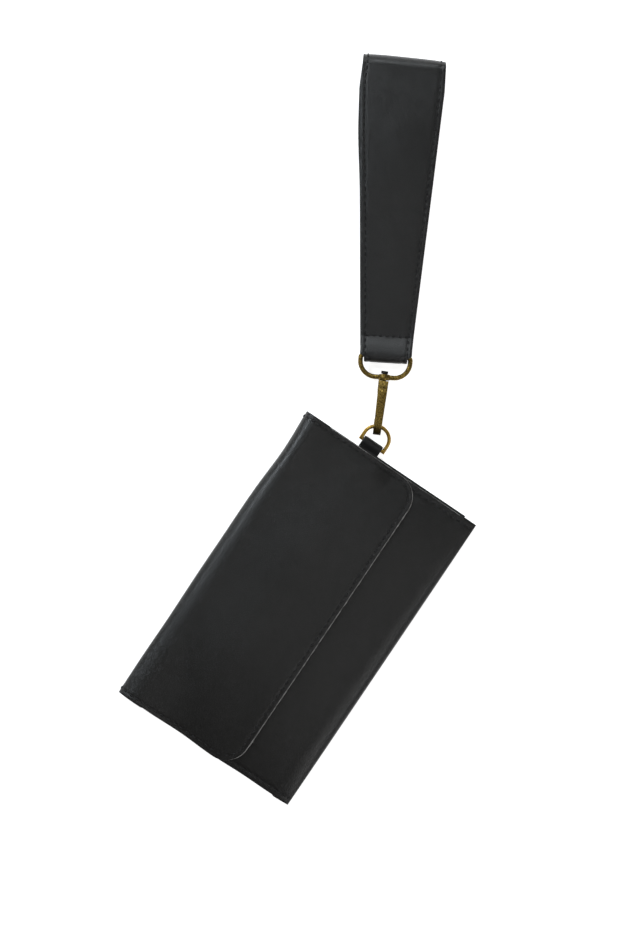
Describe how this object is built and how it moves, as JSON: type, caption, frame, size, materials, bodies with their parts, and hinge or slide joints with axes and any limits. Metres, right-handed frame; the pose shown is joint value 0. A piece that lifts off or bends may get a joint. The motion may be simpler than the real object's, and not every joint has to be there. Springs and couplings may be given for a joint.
{
  "type": "wristlet wallet",
  "caption": "Slim leather pouch with a fold-over magnetic flap, a D-ring on a side tab, and a tapered wrist strap on a swivel snap hook.",
  "frame": {"origin": "centre of the pouch's flat back face", "axes": "+X along the pouch towards the D-ring side, +Y towards the top fold with the flap, +Z out of the back through the flap"},
  "size_m": [0.397, 0.2012, 0.0137],
  "materials": {
    "body_leather": "smooth matt black leather with fine grain",
    "strap_leather": "smooth black leather, slightly glossier than the pouch",
    "strap_lining": "matt black split leather",
    "lining": "black woven lining cloth",
    "magnet": "plated steel disc",
    "ring_brass": "satin yellow brass",
    "antique_brass": "antique brass, dark in the hollows",
    "dark_rivet": "blackened brass",
    "spring_steel": "plain spring wire"
  },
  "bodies": {
    "pouch": {"back_panel": "body_leather", "front_panel": "body_leather", "back_lining": "lining", "front_lining": "lining", "card_panel": "body_leather", "card_slot_upper": "body_leather", "card_slot_lower": "body_leather", "tab_strip": "body_leather", "front_magnet": "magnet"},
    "top_fold": {"top_fold": "body_leather"},
    "flap": {"flap_outer": "body_leather", "flap_lining": "lining", "flap_magnet": "magnet"},
    "d_ring": {"d_ring": "ring_brass"},
    "hook": {"hook_body": "antique_brass", "swivel_post": "dark_rivet", "gate_pin": "antique_brass", "gate_spring": "spring_steel"},
    "gate": {"gate": "antique_brass"},
    "swivel_eye": {"swivel_eye": "antique_brass"},
    "strap": {"strap_outer": "strap_leather", "strap_lining": "strap_lining"}
  },
  "joints": [
    {"name": "fold_bend", "type": "hinge", "parent": "pouch", "child": "top_fold", "pos_m": [0, 0.05589, 0.00161], "axis": [-1, 0, 0], "range_deg": [0, 90]},
    {"name": "flap_open", "type": "hinge", "parent": "top_fold", "child": "flap", "pos_m": [0, 0.05589, 0.00939], "axis": [-1, 0, 0], "range_deg": [0, 90]},
    {"name": "d_ring_pivot", "type": "hinge", "parent": "pouch", "child": "d_ring", "pos_m": [0.0998, 0.0165, 0.0025], "axis": [0, -1, 0], "range_deg": [-100, 80]},
    {"name": "hook_swing", "type": "hinge", "parent": "d_ring", "child": "hook", "pos_m": [0.11009, 0.01982, 0.00469], "axis": [-0.4462, 0.8949, 0], "range_deg": [-80, 80]},
    {"name": "gate_open", "type": "hinge", "parent": "hook", "child": "gate", "pos_m": [0.12915, 0.02933, 0.0017], "axis": [-0.4462, 0.8949, 0], "range_deg": [0, 22], "stiffness_Nm_per_rad": 0.02, "springref_deg": -17.19},
    {"name": "swivel", "type": "hinge", "parent": "hook", "child": "swivel_eye", "pos_m": [0.13488, 0.03218, 0.0061], "axis": [0.8949, 0.4462, 0], "continuous": true},
    {"name": "strap_swing", "type": "hinge", "parent": "swivel_eye", "child": "strap", "pos_m": [0.14532, 0.03809, 0.0061], "axis": [0.4924, -0.8704, 0], "range_deg": [-90, 90]}
  ],
  "couplings": [
    {"joint": "fold_bend", "follows": "flap_open", "ratio": 1}
  ]
}
